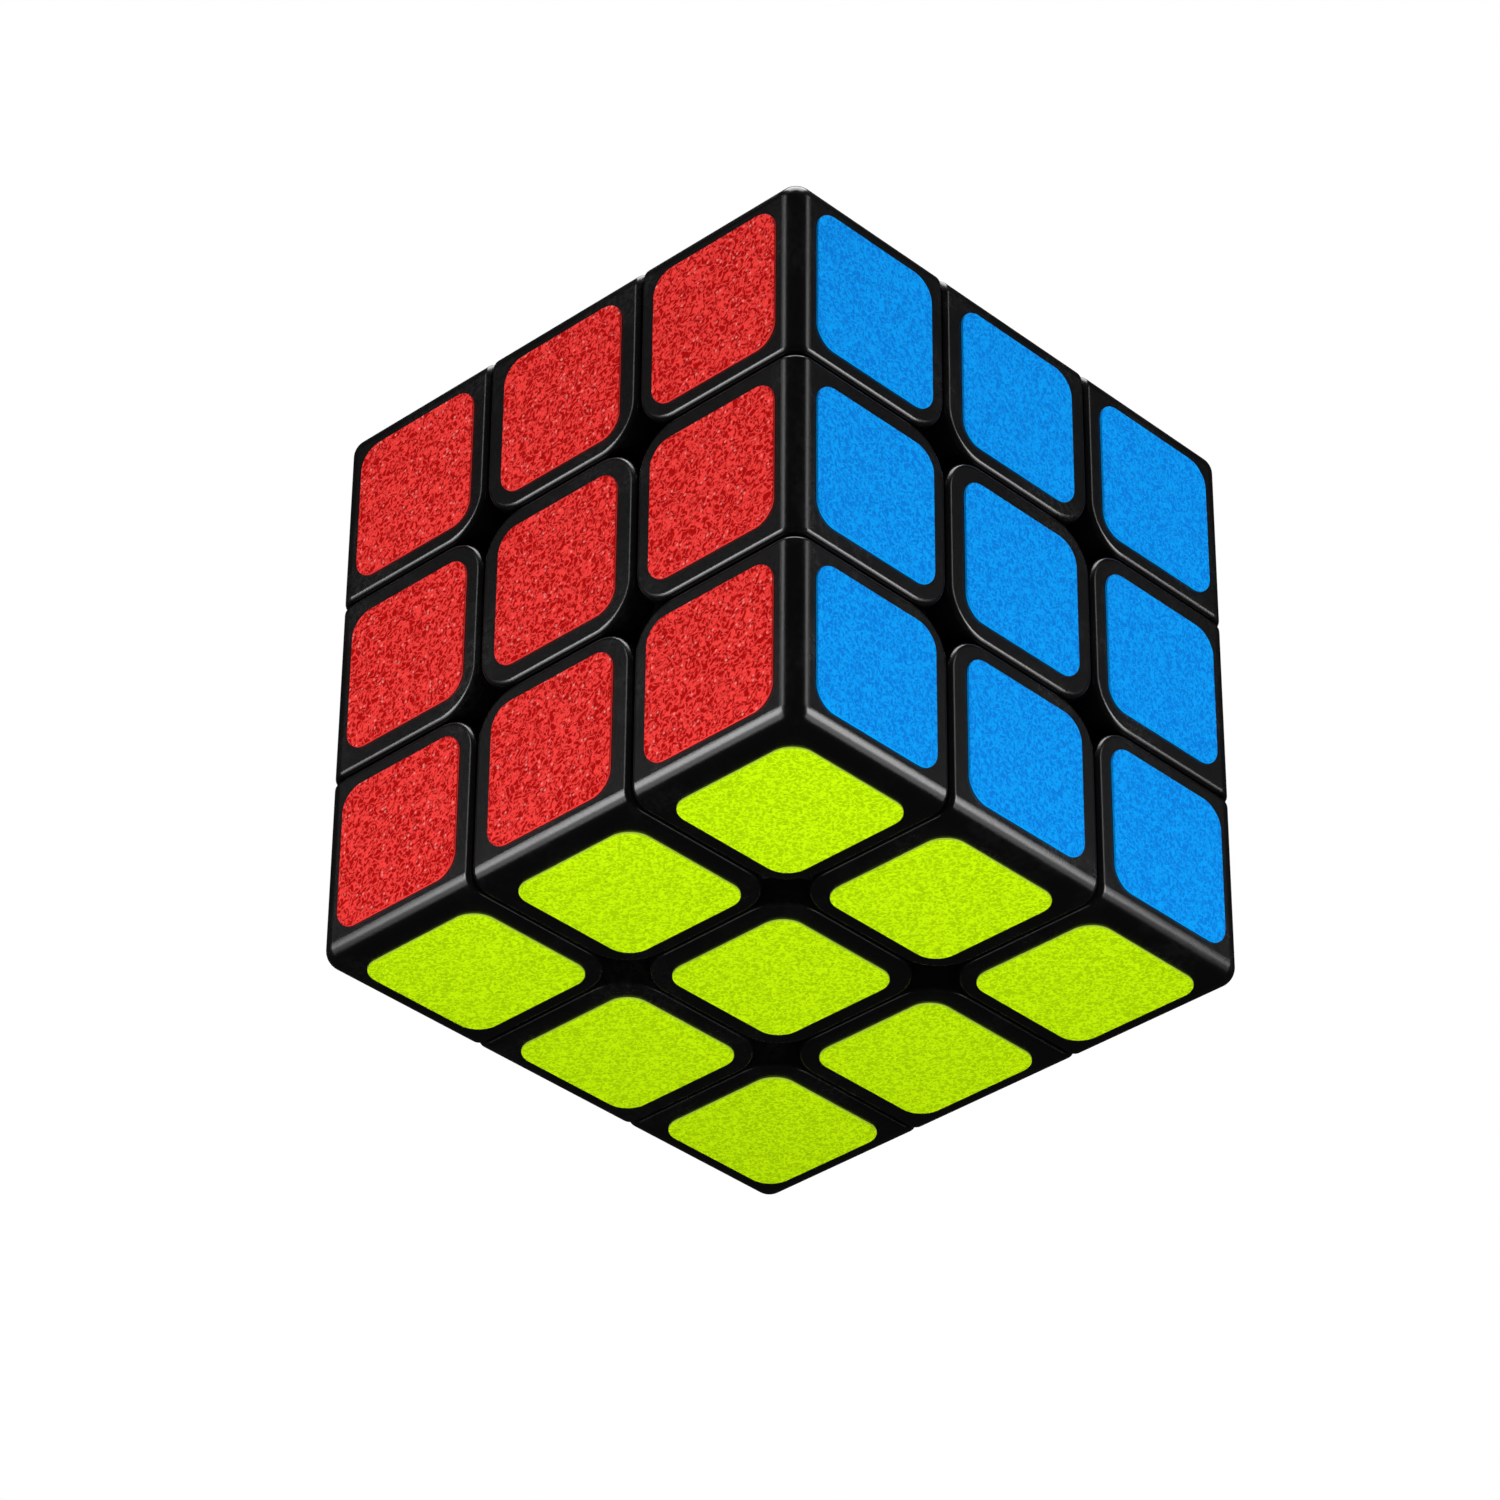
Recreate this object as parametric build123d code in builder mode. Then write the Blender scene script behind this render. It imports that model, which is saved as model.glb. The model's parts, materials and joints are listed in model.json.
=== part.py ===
"""Three-by-three twisty puzzle cube: a sprung core, six centres, twelve edges and eight corners.

The outside is cut into cubies by flat planes. Under the skin the cuts move inwards and the pieces
meet on a ball: every foot lies in a ball-shaped track and reaches under its neighbours' shells, so
a layer can turn about any of the three axes and yet nothing falls out. The origin is the middle of
the core, +Z is the white side, and -Z is the lime side, on which the cube rests.
"""

import os

from build123d import *

# ---- driving dimensions, millimetres -------------------------------------------------------------
CUBE = 56.0                 # width over the plastic, side to side
GAP = 0.3                   # running gap between neighbouring pieces
OUTER_ROUND = 1.8           # edges of the whole cube
STAR_ROUND = 4.2            # cubie corners that meet in the middle of a face
GAP_ROUND = 0.5             # rims of each cubie along the gaps
WALL = 1.2                  # moulded walls

STICKER = 14.4
STICKER_ROUND = 2.2
STICKER_THICK = 0.2
STICKER_INSET = 0.3         # the outer rows sit this much nearer the middle of the face
STICKER_RIM = 0.08          # soft cut rim

TRACK_OUT = 19.5            # ball on which the shells end and the feet begin
TRACK_IN = 12.15            # ball inside the feet, around the core
FOOT_CUT = 5.0              # planes that part the feet, inside the track ball
PLUG_HEIGHT = 2.2           # plug that joins a foot to its shell
NECK_RADIUS = 2.0           # round neck between a corner foot and its plug

CAP_SEAM = 25.0             # height of the seam between a centre's base and its cap
CAP_TOP = 1.6
CAP_RIM = 2.4               # depth of the cap's locating rim
CAP_RIM_WALL = 1.2
CAP_FIT = 0.05              # clearance around the locating rim

HUB_RADIUS = 6.6
ARM_RADIUS = 4.2
ARM_END = 11.0
STEM_PLAY = 0.1             # between an arm's end and the stem
STEM_FLOOR = 1.6            # wall that the spring presses on
STEM_TOP = 21.4
STEM_ROUND = 1.0
POCKET_RADIUS = 3.5         # spring pocket in the stem

SCREW_RADIUS = 1.5
SCREW_FIT = 0.02            # around the screw in the core
BORE_FIT = 0.1              # running fit of a centre on its screw
SCREW_TIP = 3.6             # height of the tip above the middle of the core
SCREW_SEAT = 18.6           # underside of the head
THREAD_PITCH = 1.0
THREAD_DEPTH = 0.3
THREAD_TURNS = 7
HEAD_RADIUS = 2.8
HEAD_HEIGHT = 1.9
HEAD_ROUND = 0.8
SLOT_WIDTH = 0.9
SLOT_LENGTH = 3.4
SLOT_DEPTH = 1.1
WASHER_RADIUS = 3.1
WASHER_HOLE = 1.7
WASHER_THICK = 0.5
SPRING_RADIUS = 2.45        # to the middle of the wire
SPRING_WIRE = 0.6
SPRING_TURNS = 4

# ---- derived sizes -------------------------------------------------------------------------------
HALF = CUBE / 2
PITCH = CUBE / 3
INNER = PITCH / 2 - GAP / 2             # a middle cubie reaches this far from the middle plane
OUTER = PITCH / 2 + GAP / 2             # an outer cubie begins here
SHELL_BALL = TRACK_OUT + GAP / 2        # ball-shaped underside of the shells
FOOT_BALL = TRACK_OUT - GAP / 2
FOOT_START = FOOT_CUT + GAP / 2
STEM_HALF = FOOT_CUT - GAP / 2
STEM_START = ARM_END + STEM_PLAY
SPRING_SEAT = STEM_START + STEM_FLOOR
SPRING_END = SCREW_SEAT - WASHER_THICK
RIM_HALF = INNER - WALL - CAP_FIT

# ---- places --------------------------------------------------------------------------------------
COLOURS = {
    "up": "white",
    "down": "lime",
    "front": "red",
    "right": "blue",
    "back": "orange",
    "left": "green",
}
SIDE_PLANES = {
    "up": Plane.XY,
    "down": Plane(origin=(0, 0, 0), x_dir=(1, 0, 0), z_dir=(0, 0, -1)),
    "front": Plane(origin=(0, 0, 0), x_dir=(1, 0, 0), z_dir=(0, -1, 0)),
    "right": Plane(origin=(0, 0, 0), x_dir=(0, 1, 0), z_dir=(1, 0, 0)),
    "back": Plane(origin=(0, 0, 0), x_dir=(-1, 0, 0), z_dir=(0, 1, 0)),
    "left": Plane(origin=(0, 0, 0), x_dir=(0, -1, 0), z_dir=(-1, 0, 0)),
}
ROUND_SIDES = ["front", "right", "back", "left"]
ROUND_CORNERS = ["front_right", "back_right", "back_left", "front_left"]


def quarter_turns(names, first, tilt):
    """Places about Z, a quarter turn apart, for a pattern that stands at the name first once tilted."""
    start = names.index(first)
    return {name: Rot(Z=90 * (i - start)) * tilt for i, name in enumerate(names)}


CORNER_PLACES = {
    "up": quarter_turns(ROUND_CORNERS, "back_right", Rot()),
    "down": quarter_turns(ROUND_CORNERS, "front_right", Rot(X=180)),
}
EDGE_PLACES = {
    "up": quarter_turns(ROUND_SIDES, "back", Rot()),
    "down": quarter_turns(ROUND_SIDES, "front", Rot(X=180)),
    "middle": quarter_turns(ROUND_CORNERS, "back_right", Rot(Y=90)),
}


# ---- helpers -------------------------------------------------------------------------------------
def export(piece, label):
    """Label a finished piece and write it as its own STEP file."""
    piece.part.label = label
    export_step(piece.part, f"parts/{label}.step")


def planes_touched(edge, planes):
    """Count the box side planes, (axis, place), in which an edge lies."""
    points = [edge @ 0, edge @ 0.5, edge @ 1]
    return sum(all(abs(getattr(p, axis) - place) < 1e-4 for p in points) for axis, place in planes)


def rounded_block(low, high, faces, star, edge, rim=0.0):
    """A cubie's outside: a box from low to high whose edges are rounded by what they are.

    faces holds the (axis, place) planes that are faces of the whole cube. Edges between two hidden
    walls get the radius star, edges between two faces get edge, and the rims where a face meets a
    wall get rim.
    """
    planes = list(zip("XYZ", low)) + list(zip("XYZ", high))
    walls = [plane for plane in planes if plane not in faces]
    with BuildPart() as block:
        with Locations(low):
            Box(*[top - bottom for bottom, top in zip(low, high)], align=Align.MIN)
        fillet(block.edges().filter_by(lambda e: planes_touched(e, walls) == 2), radius=star)
        fillet(block.edges().filter_by(lambda e: planes_touched(e, faces) == 2), radius=edge)
        if rim:
            straight = block.edges().filter_by(GeomType.LINE)
            curved = block.edges() - straight
            rims = straight.filter_by(lambda e: planes_touched(e, planes) == 2)
            rims += curved.filter_by(lambda e: planes_touched(e, planes) == 1)
            fillet(rims, radius=rim)
    return block.part


def cubie(low, high, faces):
    """A cubie's outside with all its roundings."""
    return rounded_block(low, high, faces, STAR_ROUND, OUTER_ROUND, GAP_ROUND)


def cubie_hollow(low, high, faces):
    """The hollow one wall thickness inside a cubie."""
    inner_low = tuple(value + WALL for value in low)
    inner_high = tuple(value - WALL for value in high)
    inner_faces = [(axis, place - WALL) for axis, place in faces]
    return rounded_block(inner_low, inner_high, inner_faces, STAR_ROUND - WALL, OUTER_ROUND - WALL)


# ---- corner: shell and foot, as the back right corner of the up layer ----------------------------
corner_box = ((OUTER, OUTER, OUTER), (HALF, HALF, HALF), [("X", HALF), ("Y", HALF), ("Z", HALF)])
corner_hollow = cubie_hollow(*corner_box)
corner_axis = Plane(origin=(0, 0, 0), z_dir=(1, 1, 1))

with BuildPart() as corner_neck:
    with Locations(corner_axis):
        Cylinder(
            NECK_RADIUS,
            SHELL_BALL + PLUG_HEIGHT,
            align=(Align.CENTER, Align.CENTER, Align.MIN),
        )

with BuildPart() as corner_shell:
    add(cubie(*corner_box))
    add(corner_hollow, mode=Mode.SUBTRACT)
    Sphere(SHELL_BALL, mode=Mode.SUBTRACT)
    add(corner_neck.part, mode=Mode.SUBTRACT)

with BuildPart() as corner_plug:
    add(corner_hollow)
    Sphere(SHELL_BALL + PLUG_HEIGHT, mode=Mode.INTERSECT)
    Sphere(SHELL_BALL, mode=Mode.SUBTRACT)

with BuildPart() as corner_foot:
    with Locations((FOOT_START, FOOT_START, FOOT_START)):
        Box(TRACK_OUT, TRACK_OUT, TRACK_OUT, align=Align.MIN)
    Sphere(FOOT_BALL, mode=Mode.INTERSECT)
    add(corner_neck.part)
    add(corner_plug.part)
    Sphere(TRACK_IN, mode=Mode.SUBTRACT)

# ---- edge: shell and foot, as the back edge of the up layer --------------------------------------
edge_box = ((-INNER, OUTER, OUTER), (INNER, HALF, HALF), [("Y", HALF), ("Z", HALF)])
edge_hollow = cubie_hollow(*edge_box)

with BuildPart() as edge_shell:
    add(cubie(*edge_box))
    add(edge_hollow, mode=Mode.SUBTRACT)
    Sphere(SHELL_BALL, mode=Mode.SUBTRACT)

with BuildPart() as edge_plug:
    add(edge_hollow)
    Sphere(SHELL_BALL + PLUG_HEIGHT, mode=Mode.INTERSECT)
    Sphere(SHELL_BALL, mode=Mode.SUBTRACT)

with BuildPart() as edge_neck:
    with Locations((0, OUTER + WALL, OUTER + WALL)):
        Box(2 * STEM_HALF, TRACK_OUT, TRACK_OUT, align=(Align.CENTER, Align.MIN, Align.MIN))
    Sphere(SHELL_BALL + PLUG_HEIGHT / 2, mode=Mode.INTERSECT)

with BuildPart() as edge_foot:
    with Locations((0, FOOT_START, FOOT_START)):
        Box(2 * STEM_HALF, TRACK_OUT, TRACK_OUT, align=(Align.CENTER, Align.MIN, Align.MIN))
    Sphere(FOOT_BALL, mode=Mode.INTERSECT)
    Sphere(TRACK_IN, mode=Mode.SUBTRACT)
    add(edge_neck.part)
    add(edge_plug.part)

# ---- centre: base and cap, as the up centre ------------------------------------------------------
with BuildPart() as centre_hollow:
    with BuildSketch(Plane.XY.offset(STEM_START)):
        RectangleRounded(2 * (INNER - WALL), 2 * (INNER - WALL), STAR_ROUND - WALL)
    extrude(amount=CAP_SEAM - STEM_START)
    Sphere(SHELL_BALL + WALL, mode=Mode.SUBTRACT)

with BuildPart() as centre_base:
    with BuildSketch(Plane.XY.offset(STEM_START)):
        RectangleRounded(2 * INNER, 2 * INNER, STAR_ROUND)
    extrude(amount=CAP_SEAM - STEM_START)
    Sphere(SHELL_BALL, mode=Mode.SUBTRACT)
    add(centre_hollow.part, mode=Mode.SUBTRACT)
    with BuildSketch(Plane.XY.offset(STEM_START)):
        RectangleRounded(2 * STEM_HALF, 2 * STEM_HALF, STEM_ROUND)
    extrude(amount=STEM_TOP - STEM_START)
    with BuildSketch(Plane.XY.offset(SPRING_SEAT)):
        Circle(POCKET_RADIUS)
    extrude(amount=STEM_TOP - SPRING_SEAT, mode=Mode.SUBTRACT)
    with BuildSketch(Plane.XY.offset(STEM_START)):
        Circle(SCREW_RADIUS + BORE_FIT)
    extrude(amount=STEM_FLOOR, mode=Mode.SUBTRACT)

with BuildPart() as centre_cap:
    with BuildSketch(Plane.XY.offset(CAP_SEAM)):
        RectangleRounded(2 * INNER, 2 * INNER, STAR_ROUND)
    extrude(amount=HALF - CAP_SEAM)
    fillet(centre_cap.edges().group_by(Axis.Z)[-1], radius=GAP_ROUND)
    with BuildSketch(Plane.XY.offset(CAP_SEAM - CAP_RIM)):
        RectangleRounded(2 * RIM_HALF, 2 * RIM_HALF, STAR_ROUND - WALL)
    extrude(amount=CAP_RIM)
    with BuildSketch(Plane.XY.offset(CAP_SEAM - CAP_RIM)):
        RectangleRounded(
            2 * (RIM_HALF - CAP_RIM_WALL),
            2 * (RIM_HALF - CAP_RIM_WALL),
            STAR_ROUND - WALL - CAP_RIM_WALL,
        )
    extrude(amount=HALF - CAP_TOP - CAP_SEAM + CAP_RIM, mode=Mode.SUBTRACT)

# ---- core and its hardware, one of each on the up arm --------------------------------------------
with BuildPart() as core:
    Sphere(HUB_RADIUS)
    with Locations(*SIDE_PLANES.values()):
        Cylinder(ARM_RADIUS, ARM_END, align=(Align.CENTER, Align.CENTER, Align.MIN))
    with Locations(*[plane.offset(SCREW_TIP - STEM_PLAY) for plane in SIDE_PLANES.values()]):
        Cylinder(
            SCREW_RADIUS + SCREW_FIT,
            ARM_END,
            align=(Align.CENTER, Align.CENTER, Align.MIN),
            mode=Mode.SUBTRACT,
        )

with BuildPart() as screw:
    with BuildSketch(Plane.XZ):
        with BuildLine():
            points = [(0, SCREW_TIP), (SCREW_RADIUS - THREAD_DEPTH, SCREW_TIP)]
            for turn in range(THREAD_TURNS):
                root = SCREW_TIP + turn * THREAD_PITCH
                points.append((SCREW_RADIUS, root + THREAD_PITCH / 2))
                points.append((SCREW_RADIUS - THREAD_DEPTH, root + THREAD_PITCH))
            points.append((SCREW_RADIUS, points[-1][1]))
            points.append((SCREW_RADIUS, SCREW_SEAT))
            points.append((HEAD_RADIUS, SCREW_SEAT))
            points.append((HEAD_RADIUS, SCREW_SEAT + HEAD_HEIGHT))
            points.append((0, SCREW_SEAT + HEAD_HEIGHT))
            Polyline(*points, close=True)
        make_face()
    revolve(axis=Axis.Z)
    fillet(screw.edges().group_by(Axis.Z)[-1], radius=HEAD_ROUND)
    with Locations((0, 0, SCREW_SEAT + HEAD_HEIGHT)):
        Box(SLOT_WIDTH, SLOT_LENGTH, 2 * SLOT_DEPTH, mode=Mode.SUBTRACT)
        Box(SLOT_LENGTH, SLOT_WIDTH, 2 * SLOT_DEPTH, mode=Mode.SUBTRACT)

with BuildPart() as washer:
    with BuildSketch(Plane.XY.offset(SPRING_END)):
        Circle(WASHER_RADIUS)
        Circle(WASHER_HOLE, mode=Mode.SUBTRACT)
    extrude(amount=WASHER_THICK)

with BuildPart() as spring:
    coil_start = (0, 0, SPRING_SEAT + SPRING_WIRE / 2)
    coil_height = SPRING_END - SPRING_SEAT - SPRING_WIRE
    with BuildLine() as coil:
        Helix(coil_height / SPRING_TURNS, coil_height, SPRING_RADIUS, center=coil_start)
    with BuildSketch(Plane(origin=coil.line @ 0, z_dir=coil.line % 0)):
        Circle(SPRING_WIRE / 2)
    sweep()

# ---- sticker, lying on the up side's middle ------------------------------------------------------
with BuildPart() as sticker:
    with BuildSketch(Plane.XY.offset(HALF)):
        RectangleRounded(STICKER, STICKER, STICKER_ROUND)
    extrude(amount=STICKER_THICK)
    fillet(sticker.edges().group_by(Axis.Z)[-1], radius=STICKER_RIM)


def sticker_place(side, column, row):
    """The place of a sticker on a side; column and row are -1, 0 or 1 in the side's own plane."""
    step = PITCH - STICKER_INSET
    return SIDE_PLANES[side].location * Pos(column * step, row * step)


# ---- write every node ----------------------------------------------------------------------------
os.makedirs("parts", exist_ok=True)

HARDWARE = {"centre_screws": screw, "screw_washers": washer, "centre_springs": spring}
CENTRE_PIECES = {"centre_base": centre_base, "centre_cap": centre_cap, "centre_sticker": sticker}
RING = [(column, row) for column in (-1, 0, 1) for row in (-1, 0, 1) if (column, row) != (0, 0)]
ROWS = {"up": (1, (-1, 0, 1)), "middle": (0, (-1, 1)), "down": (-1, (-1, 0, 1))}

export(core, "core")
for label, pattern in HARDWARE.items():
    with BuildPart() as hardware:
        with Locations(*SIDE_PLANES.values()):
            add(pattern.part)
    export(hardware, label)

for side, plane in SIDE_PLANES.items():
    for label, pattern in CENTRE_PIECES.items():
        with BuildPart() as piece:
            with Locations(plane):
                add(pattern.part)
        export(piece, f"{label}_{side}")

for layer, places in CORNER_PLACES.items():
    for name, place in places.items():
        with BuildPart() as piece:
            with Locations(place):
                add(corner_shell.part)
        export(piece, f"corner_shell_{layer}_{name}")

for layer, places in EDGE_PLACES.items():
    for name, place in places.items():
        with BuildPart() as piece:
            with Locations(place):
                add(edge_shell.part)
        export(piece, f"edge_shell_{layer}_{name}")
    with BuildPart() as feet:
        with Locations(*places.values()):
            add(edge_foot.part)
        if layer in CORNER_PLACES:
            with Locations(*CORNER_PLACES[layer].values()):
                add(corner_foot.part)
    export(feet, f"{layer}_layer_feet")

for side in ("up", "down"):
    with BuildPart() as stickers:
        with Locations(*[sticker_place(side, column, row) for column, row in RING]):
            add(sticker.part)
    export(stickers, f"{side}_{COLOURS[side]}_stickers")

for side in ROUND_SIDES:
    for layer, (row, columns) in ROWS.items():
        with BuildPart() as stickers:
            with Locations(*[sticker_place(side, column, row) for column in columns]):
                add(sticker.part)
        export(stickers, f"{layer}_{COLOURS[side]}_stickers")
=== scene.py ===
# %% [markdown]
# # A twisty puzzle cube: plastics, frosted stickers, light and camera
#
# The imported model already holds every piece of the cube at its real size: hollow black shells,
# caps, feet, stickers, and the sprung core inside. This lesson loads it as a fixed frame and gives
# each piece the finish of the real one. The shapes come from the CAD and are right, so nothing is
# rebuilt: all the work is in the surfaces, because a puzzle cube is told by its satin plastic and
# by the grain of its stickers.

# %% Load the frame
import json
from math import cos, pi, radians, sin, tan

import bpy
from mathutils import Matrix, Vector


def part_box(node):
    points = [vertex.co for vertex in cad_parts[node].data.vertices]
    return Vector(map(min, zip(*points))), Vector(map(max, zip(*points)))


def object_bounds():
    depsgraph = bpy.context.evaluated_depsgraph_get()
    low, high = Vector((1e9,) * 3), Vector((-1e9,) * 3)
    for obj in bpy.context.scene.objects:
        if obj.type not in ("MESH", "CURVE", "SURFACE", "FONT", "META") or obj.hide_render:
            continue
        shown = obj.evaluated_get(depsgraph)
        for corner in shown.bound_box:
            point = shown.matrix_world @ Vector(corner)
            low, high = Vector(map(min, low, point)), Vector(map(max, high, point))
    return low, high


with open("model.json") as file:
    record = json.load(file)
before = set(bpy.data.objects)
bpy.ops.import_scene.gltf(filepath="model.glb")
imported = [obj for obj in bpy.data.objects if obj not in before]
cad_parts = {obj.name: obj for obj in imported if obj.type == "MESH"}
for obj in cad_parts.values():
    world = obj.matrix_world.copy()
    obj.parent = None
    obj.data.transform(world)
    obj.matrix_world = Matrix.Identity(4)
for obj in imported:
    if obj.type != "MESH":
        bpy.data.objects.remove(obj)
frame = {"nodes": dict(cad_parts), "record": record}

MM = 0.001
nodes = frame["nodes"]
cad_low, cad_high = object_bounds()
print("CAD box", [round(v / MM, 2) for v in (*cad_low, *cad_high)], "mm,", len(nodes), "nodes")

# %% [markdown]
# ## Camera
#
# The viewer looks up at the cube's lower corner, so three sides show: the red front, the blue right
# side and the lime underside. A long lens from half a metre keeps the edges nearly parallel, as in
# a product picture. The camera could be aimed with a Track To constraint, but here its three axes
# are worked out from azimuth, elevation and a small roll, so that the roll is one plain number.

# %% Camera
VIEW_AZIMUTH = 43.9
VIEW_ELEVATION = -33.9
VIEW_ROLL = 0.5
VIEW_DISTANCE = 512.5 * MM
VIEW_RIGHT = -2.84 * MM
VIEW_UP = -3.86 * MM
LENS = 139.8


def direction(azimuth, elevation):
    """The direction from the cube to a place, in degrees: azimuth 0 is the front, 90 the right."""
    a, e = radians(azimuth), radians(elevation)
    return Vector((sin(a) * cos(e), -cos(a) * cos(e), sin(e)))


back = direction(VIEW_AZIMUTH, VIEW_ELEVATION)
level_right = direction(VIEW_AZIMUTH + 90, 0)
level_up = back.cross(level_right)
roll = radians(VIEW_ROLL)
right = cos(roll) * level_right + sin(roll) * level_up
up = cos(roll) * level_up - sin(roll) * level_right

camera_data = bpy.data.cameras.new("product_camera")
camera_data.lens = LENS
camera_data.clip_start = 10 * MM
camera = bpy.data.objects.new("product_camera", camera_data)
bpy.context.scene.collection.objects.link(camera)
camera_place = back * VIEW_DISTANCE + right * VIEW_RIGHT + up * VIEW_UP
camera_turn = Matrix((right, up, back)).transposed().to_4x4()
camera.matrix_world = Matrix.Translation(camera_place) @ camera_turn
bpy.context.scene.camera = camera
print("camera at", [round(v / MM, 1) for v in camera_place], "mm")

# %% [markdown]
# ## Small helpers for node trees
#
# A finish is a tree of shader nodes. By hand each node is added, set and wired with the mouse; in
# code a few helpers keep every step to one readable line. `feed` is the main one: it wires a socket
# if it is given another socket, and sets the socket's own number or colour if it is given that.


# %% Node helpers
def add_node(tree, kind, **settings):
    """Add a node and set its options."""
    node = tree.nodes.new(kind)
    for name, value in settings.items():
        setattr(node, name, value)
    return node


def feed(tree, socket, value):
    """Wire a socket to another one, or set its own value."""
    if isinstance(value, bpy.types.NodeSocket):
        tree.links.new(value, socket)
    elif socket.type == "RGBA":
        socket.default_value = (*value, 1.0)
    else:
        socket.default_value = value


def calc(tree, operation, *values):
    """One step of arithmetic on numbers."""
    node = add_node(tree, "ShaderNodeMath", operation=operation)
    for socket, value in zip(node.inputs, values):
        feed(tree, socket, value)
    return node.outputs[0]


def scaled(tree, place, factor):
    """A place multiplied by a number, which sets the size of the pattern that reads it."""
    node = add_node(tree, "ShaderNodeVectorMath", operation="SCALE")
    feed(tree, node.inputs[0], place)
    feed(tree, node.inputs["Scale"], factor)
    return node.outputs[0]


def fade(tree, value, low, high, start=0.0, end=1.0):
    """A soft step: start below low, end above high, and a smooth slope between."""
    node = add_node(tree, "ShaderNodeMapRange", interpolation_type="SMOOTHSTEP")
    for name, number in (
        ("Value", value),
        ("From Min", low),
        ("From Max", high),
        ("To Min", start),
        ("To Max", end),
    ):
        feed(tree, node.inputs[name], number)
    return node.outputs["Result"]


def mix_colours(tree, share, first, second):
    """The first colour where share is 0, the second where it is 1."""
    node = add_node(tree, "ShaderNodeMix", data_type="RGBA")
    feed(tree, node.inputs[0], share)
    feed(tree, node.inputs[6], first)
    feed(tree, node.inputs[7], second)
    return node.outputs[2]


def noise(tree, place, detail=2.0, roughness=0.5, wander=0.0):
    """A cloudy number about 0.5, whose blobs are about one unit of place across."""
    node = add_node(tree, "ShaderNodeTexNoise")
    feed(tree, node.inputs["Vector"], place)
    feed(tree, node.inputs["Scale"], 1.0)
    feed(tree, node.inputs["Detail"], detail)
    feed(tree, node.inputs["Roughness"], roughness)
    feed(tree, node.inputs["Distortion"], wander)
    return node.outputs["Fac"]


def object_place(tree):
    """The place on the piece in metres, from the middle of the cube."""
    return add_node(tree, "ShaderNodeTexCoord").outputs["Object"]


print("node helpers ready")

# %% [markdown]
# ## Node groups: effects that several finishes share
#
# A node group is to a shader what a function is to code. Its sockets are made on the group's
# interface, each with a name, a kind and a usual value. The groups here put out only numbers that
# change over the surface; the shader itself stays in each material, where its gloss is set.


# %% Group helper
def new_group(name, inputs, outputs):
    """An empty group with number inputs, as {name: usual value}, and named number outputs."""
    tree = bpy.data.node_groups.new(name, "ShaderNodeTree")
    for label, usual in inputs.items():
        socket = tree.interface.new_socket(label, in_out="INPUT", socket_type="NodeSocketFloat")
        socket.default_value = usual
    for label in outputs:
        tree.interface.new_socket(label, in_out="OUTPUT", socket_type="NodeSocketFloat")
    given = add_node(tree, "NodeGroupInput").outputs
    wanted = add_node(tree, "NodeGroupOutput").inputs
    return tree, given, wanted


def use_group(tree, group, **values):
    """Place a group in a material, with its own values, and return its outputs."""
    node = add_node(tree, "ShaderNodeGroup", node_tree=group)
    for name, value in values.items():
        feed(tree, node.inputs[name.replace("_", " ").title()], value)
    return node.outputs


# %% [markdown]
# ### Where on the cube
#
# Every piece of this cube belongs to one of six sides, or to an arm of the core that points at one.
# So three numbers describe any place, whichever side it is on: how far along its own side's axis it
# lies, how far the next largest coordinate reaches, and how far out it lies from that axis. The cut
# rims of the stickers, the worn edges of the shells and the turned rings of the screws all use
# them, and one group serves six sides.

# %% Group: cube place
cube_place, given, wanted = new_group("cube_place", {}, ["Along", "Across", "Out"])
split = add_node(cube_place, "ShaderNodeSeparateXYZ")
feed(cube_place, split.inputs[0], object_place(cube_place))
x, y, z = (calc(cube_place, "ABSOLUTE", split.outputs[axis]) for axis in range(3))
along = calc(cube_place, "MAXIMUM", calc(cube_place, "MAXIMUM", x, y), z)
least = calc(cube_place, "MINIMUM", calc(cube_place, "MINIMUM", x, y), z)
total = calc(cube_place, "ADD", calc(cube_place, "ADD", x, y), z)
across = calc(cube_place, "SUBTRACT", calc(cube_place, "SUBTRACT", total, along), least)
out_squared = calc(
    cube_place,
    "ADD",
    calc(cube_place, "MULTIPLY", across, across),
    calc(cube_place, "MULTIPLY", least, least),
)
feed(cube_place, wanted["Along"], along)
feed(cube_place, wanted["Across"], across)
feed(cube_place, wanted["Out"], calc(cube_place, "SQRT", out_squared))
print(cube_place.name, len(cube_place.nodes), "nodes")

# %% [markdown]
# ### Pressed grain
#
# The vinyl of the stickers is pressed with a fine leathery grain, and the mould of the shells is
# spark-eroded to a much finer one. Both are short wandering ridges. Noise has no ridges, but the
# distance of a noise from its middle value has: it is highest along winding lines. The noise's own
# Distortion bends the lines, and a second, finer noise breaks them up.

# %% Group: pressed grain
pressed_grain, given, wanted = new_group(
    "pressed_grain",
    {"Size": 0.3 * MM, "Wander": 0.6, "Breakup": 0.35},
    ["Height"],
)
RIDGE_SHARPNESS = 8.0
GROOVE, CREST = -0.15, 0.95
CRUMB_FINENESS = 2.3
BLOBS_PER_GRAIN = 0.62

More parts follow.
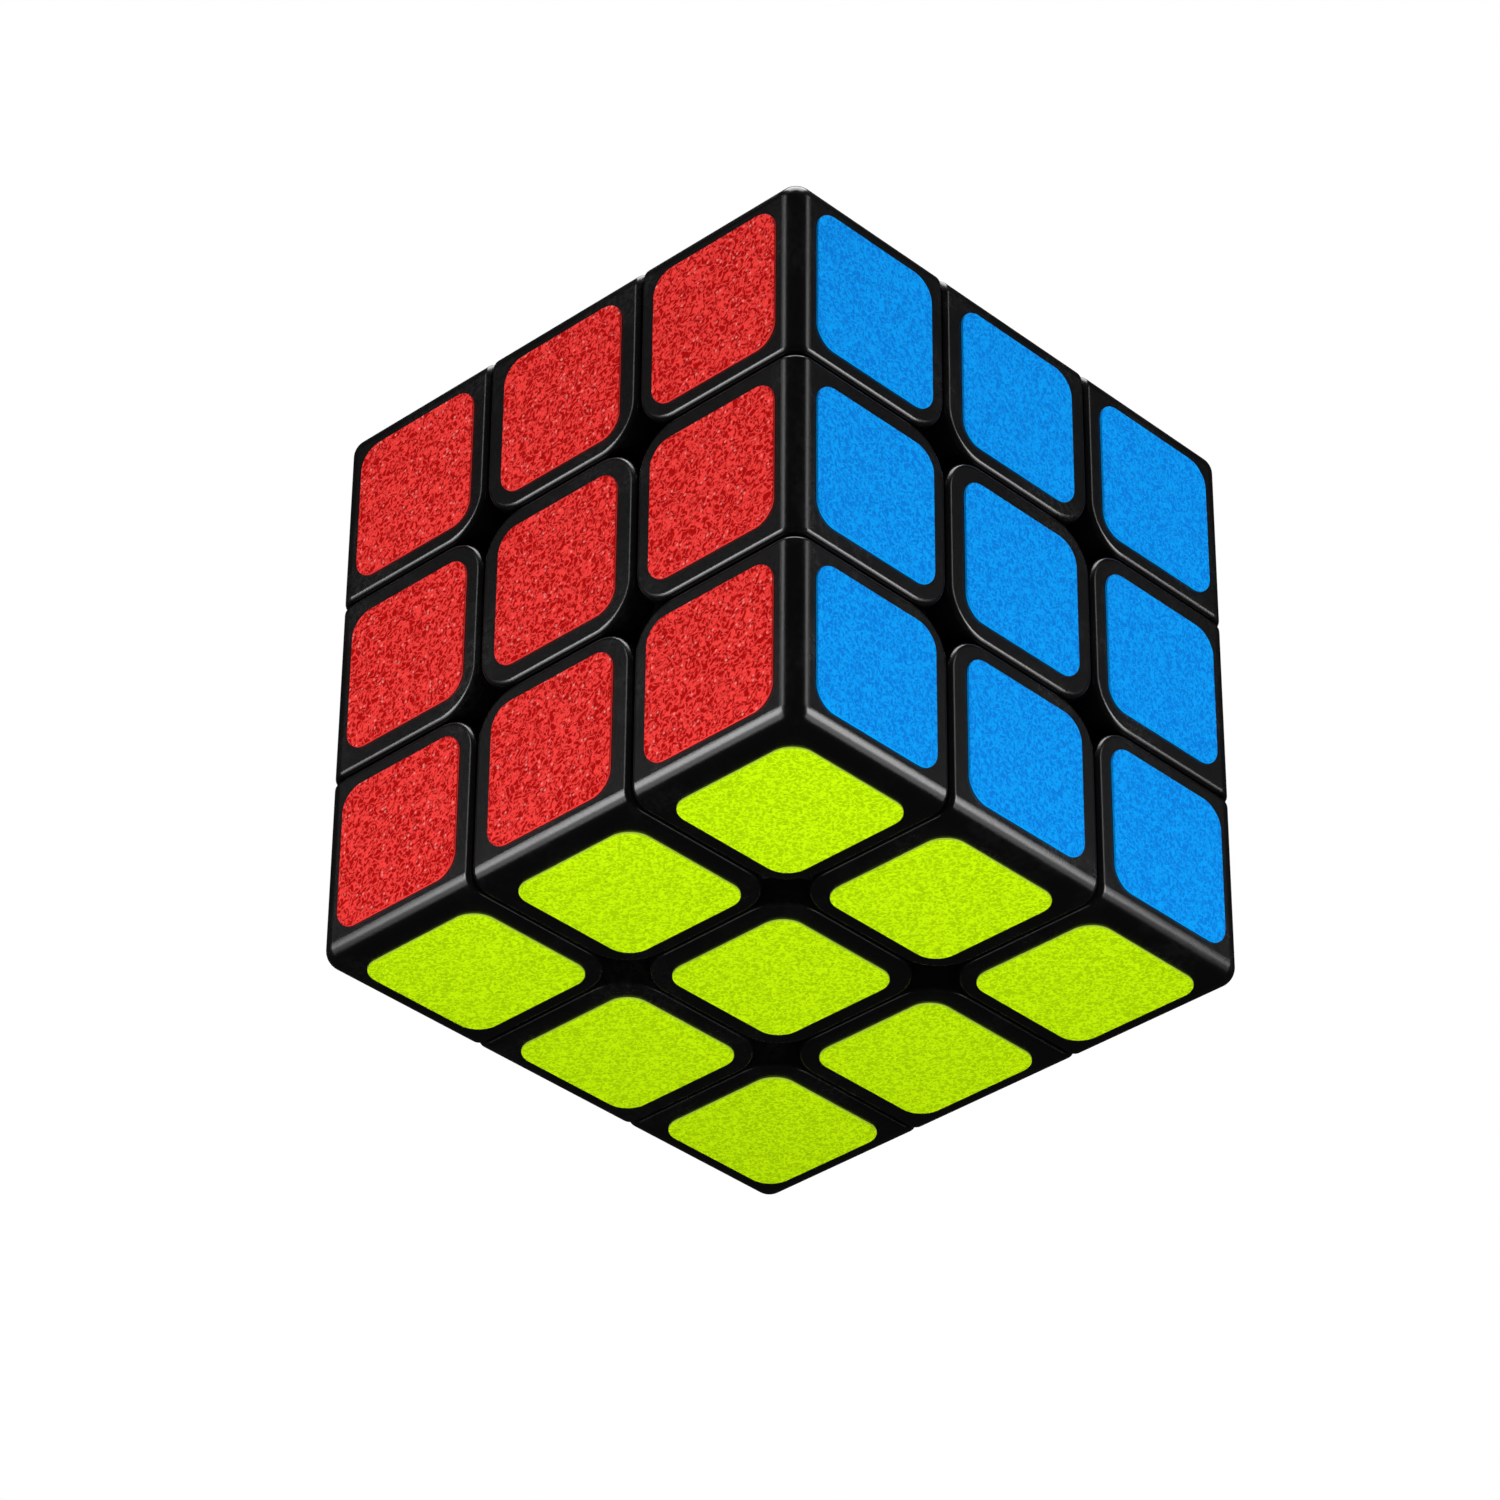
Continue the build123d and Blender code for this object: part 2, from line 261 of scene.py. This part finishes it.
grain_scale = calc(pressed_grain, "DIVIDE", BLOBS_PER_GRAIN, given["Size"])
grain_at = scaled(pressed_grain, object_place(pressed_grain), grain_scale)
winding = noise(pressed_grain, grain_at, detail=1.0, roughness=0.45, wander=given["Wander"])
off_middle = calc(pressed_grain, "ABSOLUTE", calc(pressed_grain, "SUBTRACT", winding, 0.5))
ridge = calc(pressed_grain, "MULTIPLY_ADD", off_middle, -RIDGE_SHARPNESS, 1.0)
crumbs = noise(pressed_grain, scaled(pressed_grain, grain_at, CRUMB_FINENESS), detail=1.0)
off_crumb = calc(pressed_grain, "SUBTRACT", crumbs, 0.5)
broken_ridge = calc(pressed_grain, "MULTIPLY_ADD", off_crumb, given["Breakup"], ridge)
feed(pressed_grain, wanted["Height"], fade(pressed_grain, broken_ridge, GROOVE, CREST))
print(pressed_grain.name, len(pressed_grain.nodes), "nodes")

# %% [markdown]
# ### Specks
#
# Here and there a grain catches the light, and a few lie dark. Cells of a Voronoi texture stand for
# single grains: each cell has its own chance number, so a share of them is lit, and a spot about
# the cell's middle keeps the speck round.

# %% Group: specks
specks, given, wanted = new_group("specks", {"Size": 0.3 * MM, "Share": 0.2}, ["Mask"])
SPECK_CORE = 0.18
SPECK_EDGE = 0.5

cells = add_node(specks, "ShaderNodeTexVoronoi")
feed(specks, cells.inputs["Scale"], 1.0)
cell_scale = calc(specks, "DIVIDE", 1.0, given["Size"])
feed(specks, cells.inputs["Vector"], scaled(specks, object_place(specks), cell_scale))
chance = add_node(specks, "ShaderNodeSeparateXYZ")
feed(specks, chance.inputs[0], cells.outputs["Color"])
lit = calc(specks, "LESS_THAN", chance.outputs[0], given["Share"])
spot = fade(specks, cells.outputs["Distance"], SPECK_CORE, SPECK_EDGE, 1.0, 0.0)
feed(specks, wanted["Mask"], calc(specks, "MULTIPLY", lit, spot))
print(specks.name, len(specks.nodes), "nodes")

# %% [markdown]
# ### Handling
#
# A cube that is turned by hand is never evenly clean: fingers leave broad, faint, duller patches,
# and a little dust stays in them. Two noises of different size, multiplied, give patches with
# broken borders, which looks less like a cloud than one noise does.

# %% Group: handling
handling, given, wanted = new_group("handling", {"Size": 9 * MM, "Cover": 0.5}, ["Mask"])

patch_scale = calc(handling, "DIVIDE", 1.0, given["Size"])
patch_at = scaled(handling, object_place(handling), patch_scale)
broad = noise(handling, patch_at, detail=3.0, roughness=0.6)
fine = noise(handling, scaled(handling, patch_at, 14.0), detail=2.0)
threshold = calc(handling, "SUBTRACT", 0.75, calc(handling, "MULTIPLY", given["Cover"], 0.5))
patches = fade(handling, broad, threshold, calc(handling, "ADD", threshold, 0.2))
feed(handling, wanted["Mask"], calc(handling, "MULTIPLY", patches, fade(handling, fine, 0.3, 0.65)))
print(handling.name, len(handling.nodes), "nodes")


# %% [markdown]
# ## Materials
#
# Each finish is one short function: a new material with its Principled shader, whose plain numbers
# are set on the shader's own sockets, and the few nodes that vary over the surface.


# %% Material helper
def new_material(name, **numbers):
    """A material with only a Principled shader, its plain numbers set by name."""
    material = bpy.data.materials.new(name)
    material.use_nodes = True
    tree = material.node_tree
    shader = tree.nodes["Principled BSDF"]
    for label, value in numbers.items():
        shader.inputs[label.replace("_", " ")].default_value = value
    return material, tree, shader.inputs


def bump(tree, height, depth):
    """Turn a height between 0 and 1 into a bent normal; depth is the real height in metres."""
    node = add_node(tree, "ShaderNodeBump")
    feed(tree, node.inputs["Height"], height)
    feed(tree, node.inputs["Distance"], depth)
    return node.outputs["Normal"]


finishes = {}

# %% [markdown]
# ### Satin black shells and caps
#
# The cubies are moulded in black ABS from a lightly spark-eroded mould: deep black face on, with a
# soft bright line wherever a rounded rim turns to a lamp. That needs a very dark base, because even
# a dark grey reads as grey beside the stickers, and a middling roughness that keeps the lines
# narrow. Hands rub the outer edges of the cube a little smoother, and handled patches are a little
# duller.

# %% Shell plastic
SHELL_BLACK = (0.0018, 0.0017, 0.0020)
SHELL_HANDLED = (0.0042, 0.0041, 0.0044)
CUBE_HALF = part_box("corner_shell_up_back_right")[1][2]
SHELL_ROUGHNESS = 0.21
SHELL_GRAIN = 0.16 * MM
SHELL_GRAIN_DEPTH = 0.0012 * MM


def shell_plastic():
    material, tree, shader = new_material("shell_plastic", Specular_IOR_Level=0.5)
    where = use_group(tree, cube_place)
    rubbed = fade(tree, where["Across"], CUBE_HALF - 2.0 * MM, CUBE_HALF - 0.6 * MM)
    marks = use_group(tree, handling, size=8 * MM, cover=0.55)["Mask"]
    grain = use_group(tree, pressed_grain, size=SHELL_GRAIN, wander=0.3, breakup=0.6)["Height"]
    feed(tree, shader["Base Color"], mix_colours(tree, marks, SHELL_BLACK, SHELL_HANDLED))
    dull = calc(tree, "MULTIPLY_ADD", marks, 0.05, SHELL_ROUGHNESS)
    smooth = calc(tree, "MULTIPLY_ADD", rubbed, -0.02, dull)
    feed(tree, shader["Roughness"], calc(tree, "MULTIPLY_ADD", grain, 0.03, smooth))
    feed(tree, shader["Normal"], bump(tree, grain, SHELL_GRAIN_DEPTH))
    return material


finishes["shell_plastic"] = shell_plastic()
print("made", *finishes)

# %% [markdown]
# ### Plain black inner mouldings
#
# The feet and the centre bases come from a plain polished mould. They slide on each other along
# balls about the middle of the cube, so the ball-shaped faces are burnished and carry fine rubbing
# lines, and the other faces keep a duller skin with a trace of grey lubricant.

# %% Inner plastic
INNER_BLACK = (0.011, 0.011, 0.012)
INNER_SMEAR = (0.030, 0.031, 0.033)
TRACK_BALLS = (12.15 * MM, 19.35 * MM)
TRACK_DEPTH = 0.25 * MM


def inner_plastic():
    material, tree, shader = new_material("inner_plastic")
    length = add_node(tree, "ShaderNodeVectorMath", operation="LENGTH")
    feed(tree, length.inputs[0], object_place(tree))
    radius = length.outputs["Value"]
    from_balls = [calc(tree, "ABSOLUTE", calc(tree, "SUBTRACT", radius, r)) for r in TRACK_BALLS]
    near_inner, near_outer = (fade(tree, away, 0, TRACK_DEPTH, 1, 0) for away in from_balls)
    burnished = calc(tree, "MAXIMUM", near_inner, near_outer)
    smear = use_group(tree, handling, size=4 * MM, cover=0.7)["Mask"]
    rub = use_group(tree, pressed_grain, size=0.5 * MM, wander=1.6, breakup=0.2)["Height"]
    feed(tree, shader["Base Color"], mix_colours(tree, smear, INNER_BLACK, INNER_SMEAR))
    skin = calc(tree, "MULTIPLY_ADD", smear, -0.12, 0.42)
    feed(tree, shader["Roughness"], calc(tree, "MULTIPLY_ADD", burnished, -0.14, skin))
    feed(tree, shader["Normal"], bump(tree, calc(tree, "MULTIPLY", rub, burnished), 0.004 * MM))
    return material


finishes["inner_plastic"] = inner_plastic()
print("made", *finishes)

# %% [markdown]
# ### Natural nylon core
#
# The six-armed core is moulded in undyed nylon, which is tough and slippery. It is milky rather
# than white, a little light passes under its skin, and the arms darken slightly where the screws
# have cut black dust from the centre pieces.

# %% Core plastic
NYLON = (0.78, 0.76, 0.69)
NYLON_SOILED = (0.46, 0.44, 0.40)
ARM_END = 11 * MM


def core_plastic():
    material, tree, shader = new_material(
        "core_plastic", Subsurface_Weight=0.25, Subsurface_Scale=0.8 * MM
    )
    where = use_group(tree, cube_place)
    flow = use_group(tree, pressed_grain, size=2.4 * MM, wander=1.2, breakup=0.3)["Height"]
    dust = use_group(tree, handling, size=2 * MM, cover=0.6)["Mask"]
    near_end = fade(tree, where["Along"], ARM_END - 2.5 * MM, ARM_END)
    soiled = calc(tree, "MULTIPLY", dust, calc(tree, "MULTIPLY_ADD", near_end, 0.6, 0.25))
    feed(tree, shader["Base Color"], mix_colours(tree, soiled, NYLON, NYLON_SOILED))
    feed(tree, shader["Roughness"], calc(tree, "MULTIPLY_ADD", flow, 0.10, 0.38))
    feed(tree, shader["Normal"], bump(tree, flow, 0.01 * MM))
    return material


finishes["core_plastic"] = core_plastic()
print("made", *finishes)

# %% [markdown]
# ### Steel: screws, washers, springs
#
# The three kinds of hardware differ only in how they were made. The screws are turned and
# zinc-plated, so fine rings run round them and the plating has a faint warm bloom; the washers are
# stamped and tumbled; the springs are drawn wire, darker, with a film of oil. One function makes
# all three, because the nodes are the same: rings by the distance from the arm's axis or along it,
# and a bloom of two colours.

# %% Steels
RING_PITCH = 0.12 * MM


def steel(name, plain, bloom, roughness, ring_source, ring_depth):
    material, tree, shader = new_material(name, Metallic=1.0)
    where = use_group(tree, cube_place)
    turns = calc(tree, "MULTIPLY", where[ring_source], 2 * pi / RING_PITCH)
    rings = calc(tree, "MULTIPLY_ADD", calc(tree, "SINE", turns), 0.5, 0.5)
    stain = use_group(tree, handling, size=1.8 * MM, cover=0.6)["Mask"]
    feed(tree, shader["Base Color"], mix_colours(tree, stain, plain, bloom))
    worn = calc(tree, "MULTIPLY_ADD", stain, 0.12, roughness)
    feed(tree, shader["Roughness"], calc(tree, "MULTIPLY_ADD", rings, 0.06, worn))
    feed(tree, shader["Normal"], bump(tree, rings, ring_depth))
    return material


finishes["screw_steel"] = steel(
    "screw_steel", (0.60, 0.61, 0.63), (0.55, 0.52, 0.42), 0.26, "Along", 0.002 * MM
)
finishes["washer_steel"] = steel(
    "washer_steel", (0.56, 0.56, 0.56), (0.42, 0.41, 0.40), 0.34, "Out", 0.001 * MM
)
finishes["spring_steel"] = steel(
    "spring_steel", (0.42, 0.43, 0.45), (0.26, 0.25, 0.24), 0.28, "Out", 0.001 * MM
)
print("made", *finishes)

# %% [markdown]
# ### Frosted stickers
#
# The stickers are thick coloured vinyl with a pressed grain. The colour goes right through, so the
# paler crests and deeper grooves of the grain are painted light and shade: besides the bump, the
# base colour is painted lighter on the crests as a painted highlight and darker in the grooves as
# painted shade. A share of single grains takes a speck colour, a painted glint on red, blue, orange
# and green and darker on lime and white. The grain is coarsest on the red and finer on the other
# colours, as with films from different rolls. Round the edge the cutting die leaves a smooth bevel,
# which on lime and white is painted paler as a painted highlight. All six are one function with a
# row of values each.

# %% Stickers
STICKER_TOP = cad_high[2]
STICKER_BEVEL = 0.08 * MM


def sticker_vinyl(name, groove, crest, speck, grain, depth, share, rim_highlight_strength):
    material, tree, shader = new_material(name, Specular_IOR_Level=0.03)
    where = use_group(tree, cube_place)
    bevel = fade(tree, where["Along"], STICKER_TOP - STICKER_BEVEL, STICKER_TOP - 0.02 * MM, 1, 0)
    height = use_group(tree, pressed_grain, size=grain, wander=0.7, breakup=0.9)["Height"]
    speck_mask = use_group(tree, specks, size=1.1 * grain, share=share)["Mask"]
    marks = use_group(tree, handling, size=7 * MM, cover=0.5)["Mask"]
    # painted light and shade: by the grain's height, the grooves get the darker colour and the
    # crests the paler one
    painted_grain_shading = mix_colours(tree, height, groove, crest)
    # painted glints: a share of grains takes the speck colour, lighter than the crest except on lime
    # and white, where it is darker
    with_specks = mix_colours(tree, calc(tree, "MULTIPLY", speck_mask, 0.7), painted_grain_shading, speck)
    # painted highlight: the rim bevel is whitened from the crest colour, on lime and white
    pale = tuple(value + (1 - value) * rim_highlight_strength for value in crest)
    edge = calc(tree, "MULTIPLY", bevel, 0.8)
    feed(tree, shader["Base Color"], mix_colours(tree, edge, with_specks, pale))
    frosted = calc(tree, "MULTIPLY_ADD", height, -0.10, 0.62)
    feed(tree, shader["Roughness"], calc(tree, "MULTIPLY_ADD", marks, 0.08, frosted))
    relief = calc(tree, "MULTIPLY", height, calc(tree, "SUBTRACT", 1.0, bevel))
    feed(tree, shader["Normal"], bump(tree, relief, depth))
    return material


# colours of groove (painted shade), crest (painted highlight) and speck; grain and depth in mm;
# share of specks; strength of the painted rim highlight
STICKERS = {
    "red": ((0.43, 0.001, 0.001), (0.97, 0.053, 0.047), (1.0, 0.30, 0.27), 0.35, 0.070, 0.12, 0.0),
    "blue": ((0.0002, 0.21, 0.76), (0.0008, 0.37, 1.0), (0.01, 0.52, 1.0), 0.30, 0.034, 0.12, 0.0),
    "lime": ((0.39, 0.67, 0.002), (0.60, 0.92, 0.003), (0.25, 0.48, 0.001), 0.30, 0.024, 0.12, 0.1),
    "white": ((0.66, 0.66, 0.65), (0.82, 0.82, 0.81), (0.52, 0.52, 0.51), 0.32, 0.024, 0.08, 0.2),
    "orange": ((0.74, 0.10, 0.002), (0.98, 0.22, 0.010), (1.0, 0.42, 0.10), 0.38, 0.034, 0.08, 0.0),
    "green": ((0.002, 0.22, 0.035), (0.008, 0.38, 0.075), (0.1, 0.60, 0.20), 0.34, 0.030, 0.12, 0.0),
}

for colour, (groove, crest, speck, grain, depth, share, pale) in STICKERS.items():
    slot = f"sticker_{colour}"
    finishes[slot] = sticker_vinyl(slot, groove, crest, speck, grain * MM, depth * MM, share, pale)
print("made", *finishes)

# %% [markdown]
# ### Give every node its finish
#
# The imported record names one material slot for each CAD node. The node's mesh is not touched: only
# its material slot is filled.

# %% Assign
for subpart in frame["record"]["subparts"]:
    mesh = nodes[subpart["node"]].data
    mesh.materials.clear()
    mesh.materials.append(finishes[subpart["material_slot"]])

# %% [markdown]
# ## Studio light
#
# Black plastic shows only what it mirrors. Two tall strip lamps stand well to the left and right of
# the viewer, so their lines fall just where each rim begins to turn, and nothing bright stands
# where the flat sides mirror it, so they stay black. A lamp below lights the underside, one above
# lights the top, and two dim ones behind keep the far sides readable. The lamp below and the two
# behind light the colours but are hidden from gloss, which no real lamp could be. The room itself
# is nearly dark, but the camera sees it white, as a paper backdrop would look.


# %% Lamps
LAMP_DISTANCE = 0.6
CORNER = 45


def softbox(name, azimuth, elevation, wide, tall, glow, distance=LAMP_DISTANCE, mirrored=True):
    """A flat lamp facing the cube; wide and tall are the angles that it fills, in degrees."""
    towards = direction(azimuth, elevation)
    data = bpy.data.lights.new(name, "AREA")
    data.shape = "RECTANGLE"
    data.size = 2 * distance * tan(radians(wide / 2))
    data.size_y = 2 * distance * tan(radians(tall / 2))
    data.energy = glow * pi * data.size * data.size_y
    lamp = bpy.data.objects.new(name, data)
    bpy.context.scene.collection.objects.link(lamp)
    turn = towards.to_track_quat("Z", "Y").to_matrix().to_4x4()
    lamp.matrix_world = Matrix.Translation(towards * distance) @ turn
    lamp.visible_camera = False
    lamp.visible_glossy = mirrored
    return lamp


for side, sign in (("left", -1), ("right", 1)):
    softbox(f"{side}_strip", CORNER + sign * 73, 10, 23, 24, 8.8)
    softbox(f"{side}_strip_foot", CORNER + sign * 73, -13, 23, 22, 2.4)
    softbox(f"{side}_kicker", CORNER + sign * 62, 33, 12, 18, 2.5)
    softbox(f"{side}_back_box", CORNER + sign * 127, 2, 28, 28, 5, mirrored=False)
softbox("under_box", CORNER, -62, 36, 36, 7.6, distance=0.32, mirrored=False)
softbox("top_box", CORNER, 88, 42, 42, 5.2, distance=0.9)

# %% Backdrop
world = bpy.data.worlds.new("studio")
bpy.context.scene.world = world
world.use_nodes = True
world_tree = world.node_tree
world_tree.nodes.clear()
ROOM_GLOW = 0.015
room = add_node(world_tree, "ShaderNodeBackground")
feed(world_tree, room.inputs["Color"], (1.0, 1.0, 1.0))
feed(world_tree, room.inputs["Strength"], ROOM_GLOW)
paper = add_node(world_tree, "ShaderNodeBackground")
feed(world_tree, paper.inputs["Color"], (1.0, 1.0, 1.0))
seen = add_node(world_tree, "ShaderNodeLightPath").outputs["Is Camera Ray"]
either = add_node(world_tree, "ShaderNodeMixShader")
feed(world_tree, either.inputs[0], seen)
feed(world_tree, either.inputs[1], room.outputs[0])
feed(world_tree, either.inputs[2], paper.outputs[0])
world_output = add_node(world_tree, "ShaderNodeOutputWorld")
feed(world_tree, world_output.inputs["Surface"], either.outputs[0])
bpy.context.scene.view_settings.view_transform = "Standard"
print("room glow", ROOM_GLOW)

# %% [markdown]
# ## Floor
#
# The cube rests on its lime side on a plain pale table. The main view looks up from under that
# table, so the table's underside is clear, and only a viewer above it sees the surface and the
# cube's soft shadow. It fades into the white backdrop with distance, so there is no horizon line.
# Light passes through it freely, which lets the lower lamp reach the underside.

# %% Floor
FLOOR_RADIUS = 0.52
FLOOR_CLEAR = 0.12
FLOOR_PALE = (0.80, 0.80, 0.80)

bpy.ops.object.select_all(action="DESELECT")
bpy.ops.mesh.primitive_circle_add(
    vertices=96, radius=FLOOR_RADIUS, fill_type="NGON", location=(0, 0, cad_low[2])
)
floor = bpy.context.active_object
floor.name = "floor"
bpy.ops.object.transform_apply(location=True, rotation=True, scale=True)
for ray in ("diffuse", "glossy", "transmission", "shadow"):
    setattr(floor, f"visible_{ray}", False)

floor_material, floor_tree, floor_shader = new_material("floor", Roughness=0.6)
distance = add_node(floor_tree, "ShaderNodeVectorMath", operation="LENGTH")
feed(floor_tree, distance.inputs[0], object_place(floor_tree))
near = fade(floor_tree, distance.outputs["Value"], FLOOR_CLEAR, FLOOR_RADIUS, 1, 0)
front = calc(
    floor_tree, "SUBTRACT", 1.0, add_node(floor_tree, "ShaderNodeNewGeometry").outputs["Backfacing"]
)
speckle = use_group(floor_tree, pressed_grain, size=2 * MM, wander=0.4, breakup=0.6)["Height"]
floor_colour = mix_colours(floor_tree, speckle, FLOOR_PALE, tuple(0.97 * v for v in FLOOR_PALE))
feed(floor_tree, floor_shader["Base Color"], floor_colour)
feed(floor_tree, floor_shader["Alpha"], calc(floor_tree, "MULTIPLY", near, front))
floor.data.materials.append(floor_material)
print("floor at", round(cad_low[2] / MM, 2), "mm")
